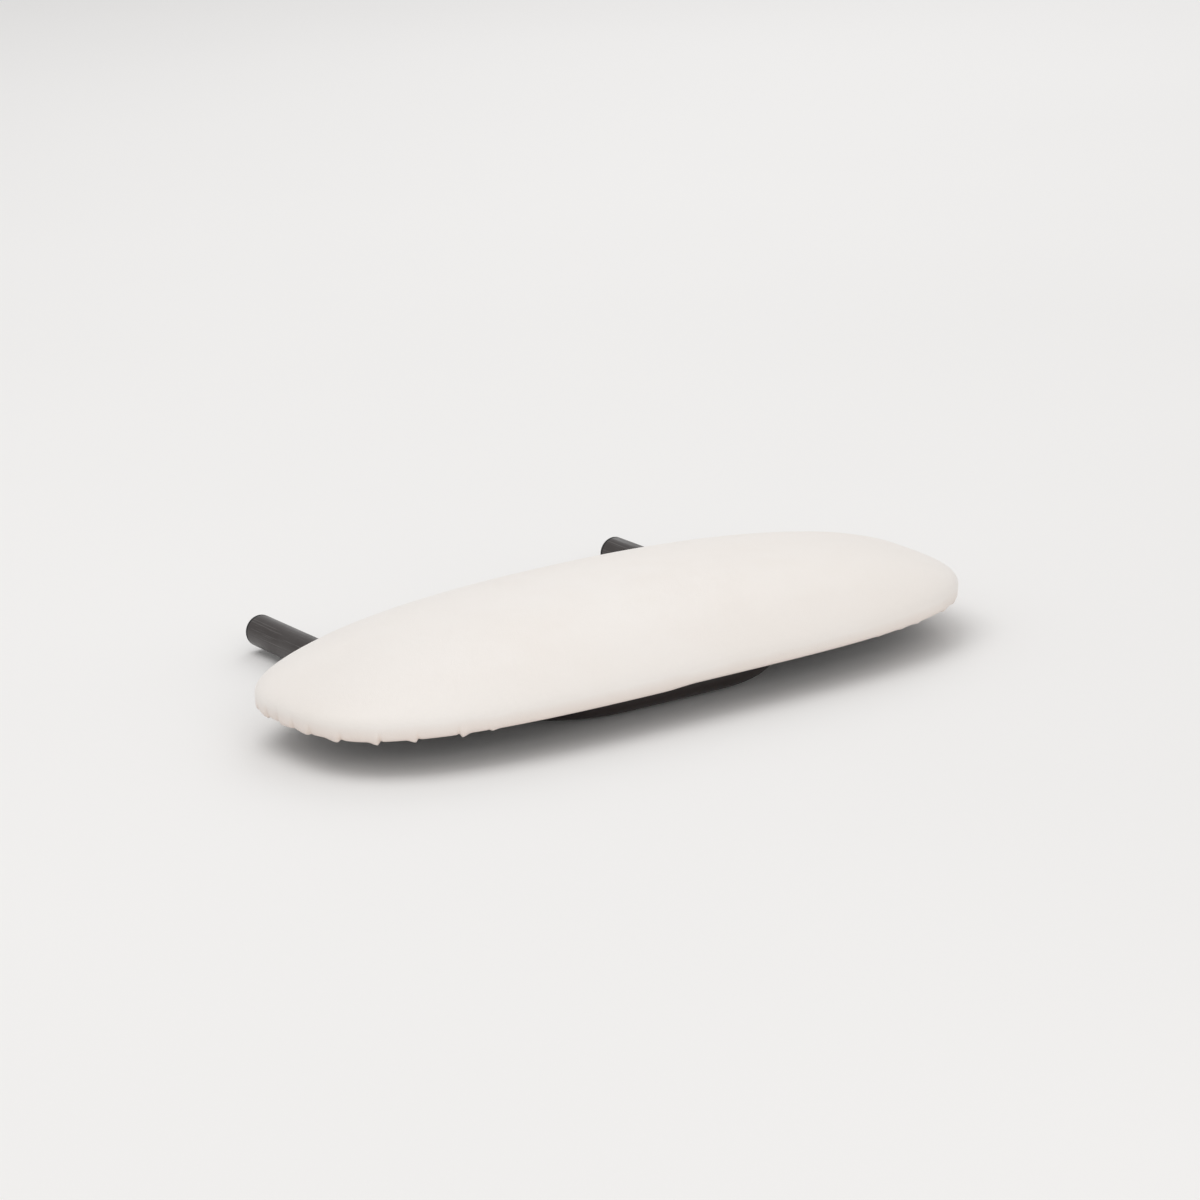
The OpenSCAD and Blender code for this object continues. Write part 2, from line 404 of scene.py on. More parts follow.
@dataclass(frozen=True)
class Foam:
    """Cut open-cell foam."""

    name: str
    colour: tuple[float, float, float]
    cell: float = 900.0
    pore_shade: float = 0.55
    pore_depth: float = 0.4 * MM

    def make(self) -> bpy.types.Material:
        """Wires the open cells and their dark pores.

        Returns:
            The finished material.
        """
        s = Shader(self.name)
        pores = s.remap(s.cells(self.cell, "F1"), 0.15, 0.55, 0.0, 1.0)
        dark = tuple(self.pore_shade * c for c in self.colour)
        s.surface(Base_Color=s.mix(pores, dark, self.colour), Roughness=0.95,
                  Specular_IOR_Level=0.2, Normal=s.bump(pores, self.pore_depth, 0.8))
        return s.material


@dataclass(frozen=True)
class BirchPlywood:
    """Birch plywood: figured faces and thin plies along its edge."""

    pale: tuple[float, float, float] = (0.70, 0.54, 0.36)
    dark: tuple[float, float, float] = (0.46, 0.31, 0.18)
    plies: int = 7
    figure_depth: float = 0.2 * MM

    def make(self, low: float, high: float) -> bpy.types.Material:
        """Wires the figure and the plies.

        Args:
            low: Height of the board's underside.
            high: Height of its top face.

        Returns:
            The finished material.
        """
        s = Shader("birch_plywood")
        figure = s.noise(1.0, 5.0, 0.6, s.stretched((14.0, 190.0, 190.0)))
        face = s.mix(s.remap(figure, 0.35, 0.7, 0.0, 1.0), self.pale, self.dark)
        layer = s.remap(s.axis("Z"), low, high, 0.0, self.plies * math.pi)
        wave = s.node("Math", operation="SINE")
        s.link(layer, wave.inputs[0])
        band = s.remap(wave.outputs["Value"], -0.25, 0.25, 0.0, 0.45)
        s.surface(Base_Color=s.mix(band, face, self.dark), Roughness=0.68,
                  Normal=s.bump(figure, self.figure_depth, 0.5))
        return s.material


@dataclass(frozen=True)
class MouldedPlug:
    """Matt black polyethylene with a fine moulded texture."""

    colour: tuple[float, float, float] = (0.028, 0.028, 0.030)
    scuffed: tuple[float, float, float] = (0.10, 0.10, 0.105)
    texture_depth: float = 0.06 * MM

    def make(self) -> bpy.types.Material:
        """Wires the spark-eroded texture and a few scuffs.

        Returns:
            The finished material.
        """
        s = Shader("moulded_plug")
        scuff = s.remap(s.noise(420.0, 5.0, 0.7), 0.58, 0.7, 0.0, 0.6)
        s.surface(Base_Color=s.mix(scuff, self.colour, self.scuffed), Roughness=0.55,
                  Normal=s.bump(s.noise(1900.0, 2.0), self.texture_depth, 0.6))
        return s.material


# ---------------------------------------------------------------------------
# Shapes
# ---------------------------------------------------------------------------
def finished(name: str, bm: bmesh.types.BMesh, finish: bpy.types.Material,
             smooth: bool = True) -> bpy.types.Object:
    """Turns a bmesh into a finished object that rides on the frame.

    Args:
        name: The object's name.
        bm: The shape, which is freed.
        finish: Its material.
        smooth: Whether its faces are shaded smooth.

    Returns:
        The new object.
    """
    mesh = bpy.data.meshes.new(name)
    for f in bm.faces:
        f.smooth = smooth
    bm.to_mesh(mesh)
    bm.free()
    mesh.materials.append(finish)
    made = bpy.data.objects.new(name, mesh)
    bpy.context.scene.collection.objects.link(made)
    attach(made, ROOT)
    return made


def eased(share: float) -> float:
    """A share from 0 to 1 that starts and stops softly."""
    return share * share * (3.0 - 2.0 * share)


def clamped(value: float, low: float = 0.0, high: float = 1.0) -> float:
    """The value, kept between two limits."""
    return max(low, min(high, value))


def next_ring(bm: bmesh.types.BMesh, order: bmesh.types.BMLayerItem,
              last: list[bmesh.types.BMVert], count: int) -> list[bmesh.types.BMVert]:
    """Starts a skin with a circle, or extrudes its last ring.

    Args:
        bm: The skin.
        order: The layer that holds each vertex's number round its ring.
        last: The last ring, or an empty list for the first one.
        count: The number of vertices round a ring.

    Returns:
        The new ring, in its order round.
    """
    if last:
        rim = set(last)
        edges = [e for e in bm.edges if e.verts[0] in rim and e.verts[1] in rim]
        geom = bmesh.ops.extrude_edge_only(bm, edges=edges)["geom"]
        ring = [g for g in geom if isinstance(g, bmesh.types.BMVert)]
    else:
        ring = bmesh.ops.create_circle(bm, segments=count, radius=1.0)["verts"]
        for i, v in enumerate(ring):
            v[order] = i
    return sorted(ring, key=lambda v: v[order])


def close_ring(bm: bmesh.types.BMesh, ring: list[bmesh.types.BMVert]) -> None:
    """Closes a ring with a fan of faces about its middle."""
    bmesh.ops.poke(bm, faces=[bm.faces.new(ring)])


@dataclass(frozen=True)
class Outline:
    """The pad's outline: two half superellipses that share its longest line."""

    half_len: float
    front_depth: float
    back_depth: float
    line_y: float
    front_square: float = 3.5
    back_square: float = 2.2
    end_from: float = 0.50
    end_over: float = 0.34

    @classmethod
    def of_cover(cls, back_share: float = 0.41) -> "Outline":
        """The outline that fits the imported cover's box.

        Args:
            back_share: Share of the width behind the longest line.

        Returns:
            The outline.
        """
        low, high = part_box("upholstery_cover")
        back = (high.y - low.y) * back_share
        return cls((high.x - low.x) / 2, high.y - low.y - back, back, high.y - back)

    def point(self, angle: float, inset: float = 0.0, share: float = 1.0) -> Vector:
        """A point of the outline.

        Args:
            angle: The superellipse's angle, in radians.
            inset: How far in it is drawn, in metres.
            share: How far out from the middle it is, from 0 to 1.

        Returns:
            The point, with a z of 0.
        """
        c, s = math.cos(angle), math.sin(angle)
        power = 2 / (self.back_square if s >= 0 else self.front_square)
        depth = self.back_depth if s >= 0 else self.front_depth
        x = (self.half_len - inset) * math.copysign(abs(c) ** power, c)
        y = (depth - inset) * math.copysign(abs(s) ** power, s)
        return Vector((x * share, self.line_y + y * share, 0.0))

    def steps(self, count: int, crowd: float = 0.0,
              dense: int = 7200) -> tuple[list[float], list[float]]:
        """Parts the girth into steps, which may crowd round the two ends.

        Args:
            count: The number of steps.
            crowd: How many times closer the steps are at the ends, less one.
            dense: The number of samples the girth is measured with.

        Returns:
            Each step's angle, in radians, and its place along the girth, in metres.
        """
        angles = [2 * math.pi * i / dense for i in range(dense + 1)]
        points = [self.point(a) for a in angles]
        runs, loads = [0.0], [0.0]
        for one, two in zip(points, points[1:]):
            far = (two - one).length
            runs.append(runs[-1] + far)
            loads.append(loads[-1] + far * (1.0 + crowd * self.endness(one)))
        spots, places, k = [], [], 0
        for i in range(count):
            want = loads[-1] * i / count
            while loads[k + 1] < want:
                k += 1
            part = (want - loads[k]) / max(loads[k + 1] - loads[k], 1e-12)
            spots.append(angles[k] + part * (angles[k + 1] - angles[k]))
            places.append(runs[k] + part * (runs[k + 1] - runs[k]))
        return spots, places

    def endness(self, point: Vector) -> float:
        """How close a point is to one of the two rounded ends, from 0 to 1."""
        return eased(clamped((abs(point.x) / self.half_len - self.end_from) / self.end_over))

    def girth(self, count: int = 1440) -> float:
        """The outline's length, in metres."""
        points = [self.point(2 * math.pi * i / count) for i in range(count)]
        return sum((points[i] - points[i - 1]).length for i in range(count))

    def area(self, inset: float = 0.0, count: int = 1440) -> float:
        """The area inside the outline, in square metres."""
        points = [self.point(2 * math.pi * i / count, inset) for i in range(count)]
        return abs(sum(p.x * q.y - q.x * p.y for p, q in zip(points, points[1:] + points[:1]))) / 2


class Ringed:
    """A skin drawn ring by ring over an outline."""

    def __init__(self, outline: Outline, count: int, crowd: float = 0.0) -> None:
        """Starts an empty skin.

        Args:
            outline: The outline that each ring follows.
            count: The number of steps round a ring.
            crowd: How many times closer the steps are at the ends, less one.
        """
        self.outline = outline
        self.angles, self.places = outline.steps(count, crowd)
        self.bm = bmesh.new()
        self.around = self.bm.verts.layers.int.new("around")
        # crease holds how much painted shade each vertex gets in the tucks' valleys.
        self.crease = self.bm.verts.layers.float.new("crease")
        self.rings: list[list[bmesh.types.BMVert]] = []

    def ring(self, inset: float, share: float, z: float) -> None:
        """Draws the next ring, extruded from the last one.

        Args:
            inset: How far in from the outline it is, in metres.
            share: How far out from the middle it is, from 0 to 1.
            z: Its height.
        """
        last = self.rings[-1] if self.rings else []
        verts = next_ring(self.bm, self.around, last, len(self.angles))
        for v in verts:
            p = self.outline.point(self.angles[v[self.around]], inset, share)
            v.co = (p.x, p.y, z)
        self.rings.append(verts)

    def orient(self) -> None:
        """Turns every face outwards."""
        bmesh.ops.recalc_face_normals(self.bm, faces=self.bm.faces)


@dataclass
class Pleat:
    """One tuck of the cover at the pad's lower edge: a flap that folds over its neighbour."""

    place: float
    reach: float
    depth: float
    climb: float
    drop: float
    turn: float
    lip: float = 0.22
    valley_at: float = 0.24
    valley_half: float = 0.30
    valley_in: float = 0.5
    valley_up: float = 0.35
    valley_climb: float = 4 * MM
    drop_climb: float = 6 * MM
    # The tuck depth at which its painted fold shade is darkest.
    darkest_depth: float = 1.6 * MM

    def way(self, u: float, girth: float) -> float:
        """How far past the tuck's lip a place is, in reaches of the flap."""
        return self.turn * ((u - self.place + girth / 2) % girth - girth / 2) / self.reach

    def bulge(self, u: float, girth: float) -> float:
        """How proud the folded flap stands at a place round the edge.

        Args:
            u: The place, in metres along the girth.
            girth: The outline's length, in metres.

        Returns:
            From 0, at rest, to 1 at the flap's lip, with a quick fall past it.
        """
        d = self.way(u, girth)
        if d <= -1.0 or d >= self.lip:
            return 0.0
        return eased(d + 1.0 if d <= 0.0 else 1.0 - d / self.lip)

    def valley(self, u: float, girth: float) -> float:
        """How deep in the tuck, just past the flap's lip, a place is, from 0 to 1."""
        return max(0.0, 1.0 - abs(self.way(u, girth) - self.valley_at) / self.valley_half)


@dataclass(frozen=True)
class Gathering:
    """How the vinyl is gathered: the tucks' sizes, and how far chance and the ends change them.

    A size's toss is how far chance moves it, and its nose is what the pad's very ends add.
    """

    STRIDE: ClassVar[float] = 7.31
    ROW: ClassVar[float] = 3.7

    pitch: float = 21 * MM
    pitch_toss: float = 13 * MM
    pitch_nose: float = -6 * MM
    reach: float = 5.2 * MM
    reach_toss: float = 2.5 * MM
    reach_nose: float = 7.0 * MM
    depth: float = 0.75 * MM
    depth_toss: float = 0.5 * MM
    climb: float = 6.5 * MM
    climb_toss: float = 3.0 * MM
    climb_nose: float = 3.0 * MM
    drop: float = 2.1 * MM
    drop_toss: float = 1.5 * MM
    drop_nose: float = -1.1 * MM
    first: float = 5 * MM
    last: float = 8 * MM
    calm_share: float = 0.30
    calm_back: float = 20 * MM
    nose_from: float = 0.90
    side_size: float = 0.35
    least_end: float = 0.05

    def tucks(self, outline: Outline, seed: int, parts: int = 1440) -> list[Pleat]:
        """The tucks, close together round the two ends and none along the sides.

        The left end's are deep and loose; along the front of the right end the vinyl was
        pulled almost flat.

        Args:
            outline: The pad's outline.
            seed: The seed of the tucks' differences.
            parts: The number of places that the girth is read at.

        Returns:
            The tucks, in their order round the edge.
        """
        out: list[Pleat] = []
        girth = outline.girth()
        angles, _ = outline.steps(parts)
        u = self.first
        while u < girth - self.last:
            p = outline.point(angles[int(u / girth * parts) % parts])
            end = outline.endness(p)
            toss = [noise.noise(Vector((seed + self.STRIDE * len(out), self.ROW * k, 0.5)))
                    for k in range(5)]
            calm = self.calm_share if p.x > 0 and p.y < outline.line_y + self.calm_back else 1.0
            nose = max(0.0, (abs(p.x) / outline.half_len - self.nose_from)
                       / (1.0 - self.nose_from))
            size = (self.side_size + (1.0 - self.side_size) * end) * calm
            if end > self.least_end:
                out.append(Pleat(
                    place=u,
                    reach=self.reach + self.reach_toss * toss[0] + self.reach_nose * nose,
                    depth=(self.depth + self.depth_toss * toss[1]) * size,
                    climb=self.climb + self.climb_toss * toss[2] + self.climb_nose * nose,
                    drop=(self.drop + self.drop_toss * toss[3] + self.drop_nose * nose) * size,
                    turn=1.0 if toss[4] > -0.1 else -1.0))
            u += self.pitch + self.pitch_nose * nose + self.pitch_toss * toss[4]
        return out


@dataclass
class Cushion:
    """The upholstered cover, swollen by its foam and gathered at its rounded ends."""

    HEM_INSETS: ClassVar[tuple[float, ...]] = (18, 14, 11.5, 9.5, 8, 6.8, 5.8, 4.9, 4.1, 3.4)
    WALL_HEIGHTS: ClassVar[tuple[float, ...]] = (4.2, 5.4, 6.6, 7.8, 9.0)
    CROWN_SHARES: ClassVar[tuple[float, ...]] = (
        0.9985, 0.9955, 0.991, 0.985, 0.977, 0.967, 0.954, 0.938, 0.919, 0.897, 0.872, 0.844,
        0.813, 0.779, 0.742, 0.702, 0.658, 0.611, 0.561, 0.508, 0.452, 0.393, 0.331, 0.266,
        0.198, 0.128, 0.06, 0.015)

    outline: Outline
    steps: int = 1080
    copy_steps: int = 160
    crowd: float = 1.4
    hem_width: float = 22 * MM
    edge_round: float = 3 * MM
    side: float = 9 * MM
    flat: float = 2.6
    round: float = 1.7
    voxel: float = 5 * MM
    pinned_below: float = 7 * MM
    pressure: float = 4.0
    frames: int = 20
    neighbours: int = 10
    blur: float = 2 * MM
    upper_from: float = 12 * MM
    swell_cap: float = 6 * MM
    swell_least: float = -0.3 * MM
    swell_most: float = 1.6 * MM
    plump: float = 0.6 * MM
    plump_over: float = 8 * MM
    flat_below: float = 0.5 * MM
    roll_low: float = 5 * MM
    roll_high: float = 24 * MM
    roll_passes: int = 14
    deepest: float = 0.4 * MM
    gathered_below: float = 26 * MM
    hem_kept: float = 1.8 * MM
    hem_over: float = 5.6 * MM
    loose_hem: float = 1.1 * MM
    loose_from: float = -4 * MM
    loose_over: float = 22 * MM
    loose_climb: float = 7 * MM
    sags: float = 38.0
    sag: float = 0.7 * MM
    sag_over: float = 12 * MM
    gathering: Gathering = Gathering()
    seed: int = 11
    low: float = field(init=False)
    top: float = field(init=False)

    def __post_init__(self) -> None:
        """Reads the hem's and the crown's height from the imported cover."""
        low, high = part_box("upholstery_cover")
        self.low, self.top = low.z, high.z

    def dome(self, share: float) -> float:
        """Height of the dome at a share of the way out, above its rim."""
        return (self.top - self.low - self.side) * (1 - share ** self.flat) ** (1 / self.round)

    def stations(self) -> list[tuple[float, float, float]]:
        """The rings from the hem's inner edge, round the side and over the crown.

        Returns:
            Inset, share and height of each ring.
        """
        rings = [(self.hem_width, 1.0, self.low + 1.0 * MM), (self.hem_width, 1.0, self.low)]
        rings += [(i * MM, 1.0, self.low) for i in self.HEM_INSETS]
        for a in range(0, 91, 15):
            r = math.radians(a)
            rings.append((self.edge_round * (1 - math.sin(r)) + 0.6 * MM * math.sin(r), 1.0,
                          self.low + self.edge_round * (1 - math.cos(r))))
        rings += [((0.9 - h * 0.1) * MM, 1.0, self.low + h * MM) for h in self.WALL_HEIGHTS]
        rings += [(0.0, s, self.low + self.side + self.dome(s)) for s in self.CROWN_SHARES]
        return rings

    def skin(self, steps: int, crowd: float = 0.0) -> Ringed:
        """Draws the closed skin.

        Args:
            steps: The number of steps round each ring.
            crowd: How many times closer the steps are at the ends, less one.

        Returns:
            The skin.
        """
        skin = Ringed(self.outline, steps, crowd)
        for station in self.stations():
            skin.ring(*station)
        for ring in (skin.rings[0], skin.rings[-1]):
            close_ring(skin.bm, ring)
        skin.orient()
        return skin

    def stuffed(self) -> tuple[list[Vector], list[Vector]]:
        """Lets a copy of the pad swell as cloth over its foam.

        Returns:
            Each point of the copy at rest, and how far it moved.
        """
        skin = self.skin(self.copy_steps)
        mesh = bpy.data.meshes.new("stuffing")
        skin.bm.to_mesh(mesh)
        skin.bm.free()
        body = bpy.data.objects.new("stuffing", mesh)
        bpy.context.scene.collection.objects.link(body)
        remesh = body.modifiers.new("voxels", "REMESH")
        remesh.mode, remesh.voxel_size = "VOXEL", self.voxel
        body.data = self.applied(body)
        body.modifiers.clear()
        rest = [v.co.copy() for v in body.data.vertices]
        pins = body.vertex_groups.new(name="stapled")
        for i, p in enumerate(rest):
            height = (p.z - self.low) / self.pinned_below
            if height < 1.0:
                pins.add([i], min(1.0, 1.2 - height), "REPLACE")
        cloth = body.modifiers.new("cover", "CLOTH")
        rules = cloth.settings
        rules.use_pressure, rules.uniform_pressure_force = True, self.pressure
        rules.vertex_group_mass = pins.name
        rules.quality, rules.mass = 6, 0.35
        rules.tension_stiffness = rules.compression_stiffness = 45.0
        rules.shear_stiffness, rules.bending_stiffness = 12.0, 1.5
        rules.effector_weights.gravity = 0.0
        cloth.point_cache.frame_start, cloth.point_cache.frame_end = 1, self.frames
        scene = bpy.context.scene
        for frame_number in range(1, self.frames + 1):
            scene.frame_set(frame_number)
        swollen = self.applied(body)
        moves = [v.co - r for v, r in zip(swollen.vertices, rest)]
        bpy.data.objects.remove(body)
        scene.frame_set(1)
        return rest, moves

    @staticmethod
    def applied(body: bpy.types.Object) -> bpy.types.Mesh:
        """The object's mesh with its modifiers applied."""
        return bpy.data.meshes.new_from_object(
            body.evaluated_get(bpy.context.evaluated_depsgraph_get()))

    def build(self, finish: bpy.types.Material) -> bpy.types.Object:
        """Makes the finished cover.

        Args:
            finish: Its vinyl.

        Returns:
            The cover.
        """
        skin = self.skin(self.steps, self.crowd)
        bm = skin.bm
        bm.normal_update()
        normals = {v: v.normal.copy() for v in bm.verts}
        start = {v: v.co.copy() for v in bm.verts}
        outs = self.swelling(bm, normals)
        for v in bm.verts:
            if v.co.z > self.low + self.flat_below:
                fade = min(1.0, (v.co.z - self.low) / self.plump_over)
                v.co += normals[v] * (self.plump + outs.get(v, 0.0)) * fade
        girth = self.outline.girth()
        pleats = self.gathering.tucks(self.outline, self.seed)
        roll = [v for v in bm.verts if self.roll_low < v.co.z - self.low < self.roll_high]
        for _ in range(self.roll_passes):
            bmesh.ops.smooth_vert(bm, verts=roll, factor=0.5, use_axis_x=True, use_axis_y=True,
                                  use_axis_z=True)
        for v in roll:
            sunk = (v.co - start[v]).dot(normals[v]) + self.deepest
            if sunk < 0.0:
                v.co -= normals[v] * sunk
        for ring, (inset, _, _) in list(zip(skin.rings, self.stations()))[1:]:
            for v in ring:
                if v.co.z < self.low + self.gathered_below:
                    self.gather(v, normals[v], skin.places[v[skin.around]], inset, pleats,
                                skin.crease, girth)
        made = finished("cushion_cover", bm, finish)
        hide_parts("upholstery_cover")
        log.info("cushion_cover: %d tucks, %d faces", len(pleats), len(made.data.polygons))
        return made

    def swelling(self, bm: bmesh.types.BMesh,
                 normals: dict[bmesh.types.BMVert, Vector]) -> dict[bmesh.types.BMVert, float]:
        """Reads how far the stuffed copy swelled beside each vertex of the finished skin.

        Args:
            bm: The skin.
            normals: Each vertex's outward direction.

        Returns:
            Each vertex's way out from the middling swelling, capped, in metres.
        """
        rest, moves = self.stuffed()
        tree = kdtree.KDTree(len(rest))
        for i, p in enumerate(rest):
            tree.insert(p, i)
        tree.balance()
        outs: dict[bmesh.types.BMVert, float] = {}
        for v in bm.verts:
            total, weight = 0.0, 0.0
            for _, i, d in tree.find_n(v.co, self.neighbours):
                w = 1.0 / (d * d + self.blur * self.blur)
                total += w * moves[i].dot(normals[v])
                weight += w
            outs[v] = min(total / weight, self.swell_cap)
        upper = sorted(outs[v] for v in bm.verts if v.co.z > self.low + self.upper_from)
        middle = upper[len(upper) // 2]
        log.info("swelling: median %.2f mm, from %.2f to %.2f mm", middle / MM,
                 upper[0] / MM, upper[-1] / MM)
        return {v: clamped(out - middle, self.swell_least, self.swell_most)
                for v, out in outs.items()}

    def gather(self, v: bmesh.types.BMVert, normal: Vector, u: float, inset: float,
               pleats: list[Pleat], crease: bmesh.types.BMLayerItem, girth: float) -> None:
        """Moves one vertex by the tucks near it.

        Args:
            v: The vertex.
            normal: Its outward direction on the smooth skin.
            u: Its place along the girth, in metres.
            inset: How far in from the outline it was drawn, in metres.
            pleats: All the tucks.
            crease: The layer that holds how deep in a fold it is, which the vinyl darkens as
                painted shade.
            girth: The outline's length.
        """
        height = v.co.z - self.low
        under = max(0.0, 1.0 - max(0.0, inset - self.hem_kept) / self.hem_over)
        end = self.outline.endness(v.co)
        spot = Vector((v.co.x * self.sags, v.co.y * self.sags, self.seed))
        sag = noise.noise(spot) * self.sag * end
        v.co.z += sag * max(0.0, 1.0 - height / self.sag_over) * under
        if v.co.y < self.outline.line_y:
            slack = eased(clamped((self.loose_from - v.co.x) / self.loose_over))
            v.co.z -= self.loose_hem * slack * under * max(0.0, 1.0 - height / self.loose_climb)
        for p in pleats:
            bulge = p.bulge(u, girth)
            valley = p.valley(u, girth)
            if bulge == 0.0 and valley == 0.0:
                continue
            fade = eased(max(0.0, 1.0 - height / p.climb))
            flat = Vector((normal.x, normal.y, 0.0))
            v.co += flat * (bulge - valley * p.valley_in) * p.depth * fade * under
            v.co.z -= bulge * p.drop * under * max(0.0, 1.0 - height / p.drop_climb) ** 1.5
            v.co.z += (valley * p.valley_up * p.drop * under
                       * max(0.0, 1.0 - height / p.valley_climb))
            # Painted shade: how dark the vinyl is drawn in this tuck's valley.
            shade = min(1.0, p.depth / p.darkest_depth)
            v[crease] = max(v[crease], valley * fade * under * shade)


@dataclass
class UndersideLining:
    """The black lining stapled over the hem, lifting a little between its staples."""

    outline: Outline
    insets: tuple[float, ...] = (9.0, 9.5, 10.3, 11.4, 12.6, 14.2, 17.0, 21.0, 27.0, 36.0, 50.0)
    thick: float = 0.5 * MM
    steps: int = 420
    lift: float = 0.9 * MM
    lift_over: float = 14 * MM
    fray: float = 0.35 * MM
    fray_fine: float = 0.12 * MM
    ripple: float = 0.10 * MM

    def build(self, finish: bpy.types.Material, staples: list["Staple"]) -> bpy.types.Object:
        """Makes the lining.

        Args:
            finish: Its felt.
            staples: The staples that hold it.

        Returns:
            The lining.
        """
        low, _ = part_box("underside_lining")
        skin = Ringed(self.outline, self.steps)
        for inset in self.insets:
            skin.ring(inset * MM, 1.0, low.z)
        close_ring(skin.bm, skin.rings[-1])
        for k, ring in enumerate(skin.rings[:-1]):
            for v in ring:
                near = min((v.co.xy - s.place.xy).length for s in staples)
                slack = clamped(near / self.lift_over)
                if k == 0:
                    v.co.xy += v.co.xy.normalized() * (
                        noise.noise(v.co * 260) * self.fray
                        + noise.noise(v.co * 900) * self.fray_fine)
                v.co.z -= slack * slack * self.lift * max(0.0, 1 - k / 5)
                v.co.z += noise.noise(v.co * 90) * self.ripple
        skin.orient()
        if sum(f.normal.z for f in skin.bm.faces) > 0:
            bmesh.ops.reverse_faces(skin.bm, faces=skin.bm.faces)
        made = finished("underside_felt", skin.bm, finish)
        wall = made.modifiers.new("thickness", "SOLIDIFY")
        wall.thickness, wall.offset = self.thick, -1.0
        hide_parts("underside_lining")
        o, inset = self.outline, self.insets[0] * MM
        size = (2 * (o.half_len - inset), o.front_depth + o.back_depth - 2 * inset)
        min(o.area(inset), size[0] * size[1])
        return made


@dataclass
class Staple:
    """One wire staple: its crown's middle, its direction and its depth."""

    place: Vector
    along: Vector
    crown: float = 10 * MM
    wire: float = 0.9 * MM
    flat: float = 0.45 * MM
    leg: float = 6.5 * MM

    def draw(self, bm: bmesh.types.BMesh) -> None:
        """Adds the bent wire to a bmesh, crown down and legs up.

        Args:
            bm: The bmesh it is added to.
        """
        made = bmesh.ops.create_cube(bm, size=1.0)["verts"]
        turn = Matrix.Rotation(math.atan2(self.along.y, self.along.x), 4, "Z")
        bmesh.ops.scale(bm, vec=(self.crown - 2 * self.wire, self.wire, self.flat), verts=made)
        ends = [f for f in {f for v in made for f in v.link_faces} if abs(f.normal.x) > 0.9]
        ups: list[bmesh.types.BMFace] = []
        geometry = set(made)
        for end in ends:
            side = math.copysign(1.0, end.calc_center_median().x)
            new = bmesh.ops.extrude_face_region(bm, geom=[end])["geom"]
            verts = [g for g in new if isinstance(g, bmesh.types.BMVert)]
            bmesh.ops.translate(bm, vec=(side * self.wire, 0, 0), verts=verts)
            geometry.update(verts)
            bm.normal_update()
            faces = {f for v in verts for f in v.link_faces}
            ups += [f for f in faces if f.normal.z > 0.9
                    and abs(f.calc_center_median().x) > self.crown / 2 - self.wire]
            bmesh.ops.delete(bm, geom=[end] if end.is_valid else [], context="FACES_ONLY")
        for up in ups:
            new = bmesh.ops.extrude_face_region(bm, geom=[up])["geom"]
            verts = [g for g in new if isinstance(g, bmesh.types.BMVert)]
            bmesh.ops.translate(bm, vec=(0, 0, self.leg), verts=verts)
            geometry.update(verts)
            bmesh.ops.delete(bm, geom=[up] if up.is_valid else [], context="FACES_ONLY")
        verts = list(geometry)
        edges = [e for e in {e for v in verts for e in v.link_edges}
                 if abs(e.verts[0].co.x - e.verts[1].co.x) < 1e-6
                 and abs(abs(e.verts[0].co.x) - self.crown / 2) < 1e-6
                 and e.verts[0].co.z < 0 and e.verts[1].co.z < 0]
        bent = bmesh.ops.bevel(bm, geom=edges, offset=0.4 * self.flat, offset_type="OFFSET",
                               affect="EDGES", segments=3, profile=0.5, material=-1)
        geometry.update(bent["verts"])
        live = [v for v in geometry if v.is_valid]
        bmesh.ops.transform(bm, matrix=Matrix.Translation(self.place) @ turn, verts=live)


@dataclass
class StapleRow:
    """The staples of one CAD node, redrawn as bent wire."""

    node: str
    staples: list[Staple] = field(init=False)

    def __post_init__(self) -> None:
        """Finds each staple of the node."""
        self.staples = []
        bm = bmesh.new()
        bm.from_mesh(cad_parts[self.node].data)
        bmesh.ops.remove_doubles(bm, verts=bm.verts, dist=1e-6)
        seen: set[bmesh.types.BMVert] = set()
        for start in bm.verts:
            if start in seen:
                continue
            island, todo = [], [start]
            seen.add(start)
            while todo:
                v = todo.pop()
                island.append(v.co.copy())
                for e in v.link_edges:
                    other = e.other_vert(v)
                    if other not in seen:
                        seen.add(other)
                        todo.append(other)
            self.staples.append(self.read(island))
        bm.free()

    @staticmethod
    def read(points: list[Vector]) -> Staple:
        """Reads a staple's place and direction from its corners.

        Args:
            points: The staple's corners.

        Returns:
            The staple.
        """
        middle = sum(points, Vector()) / len(points)
        far = max(points, key=lambda p: (p.xy - middle.xy).length).xy - middle.xy
        ends = [[p for p in points if (p.xy - middle.xy).dot(far) * side > 0] for side in (1, -1)]
        one, two = (sum(end, Vector()) / len(end) for end in ends)
        along = Vector((one.x - two.x, one.y - two.y, 0.0)).normalized()
        low = min(p.z for p in points)
        return Staple(Vector((middle.x, middle.y, low + Staple.flat / 2)), along)

    def build(self, finish: bpy.types.Material) -> bpy.types.Object:
        """Draws the row.

        Args:
            finish: The wire's plating.

        Returns:
            The row.
        """
        bm = bmesh.new()
        for s in self.staples:
            s.draw(bm)
        bmesh.ops.recalc_face_normals(bm, faces=bm.faces)
        made = finished(self.node + "_wire", bm, finish, smooth=False)
        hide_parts(self.node)
        return made


# ---------------------------------------------------------------------------
# Hardware
# ---------------------------------------------------------------------------
HEAD_PER_THREAD = 0.95
RISE_PER_THREAD = 0.55


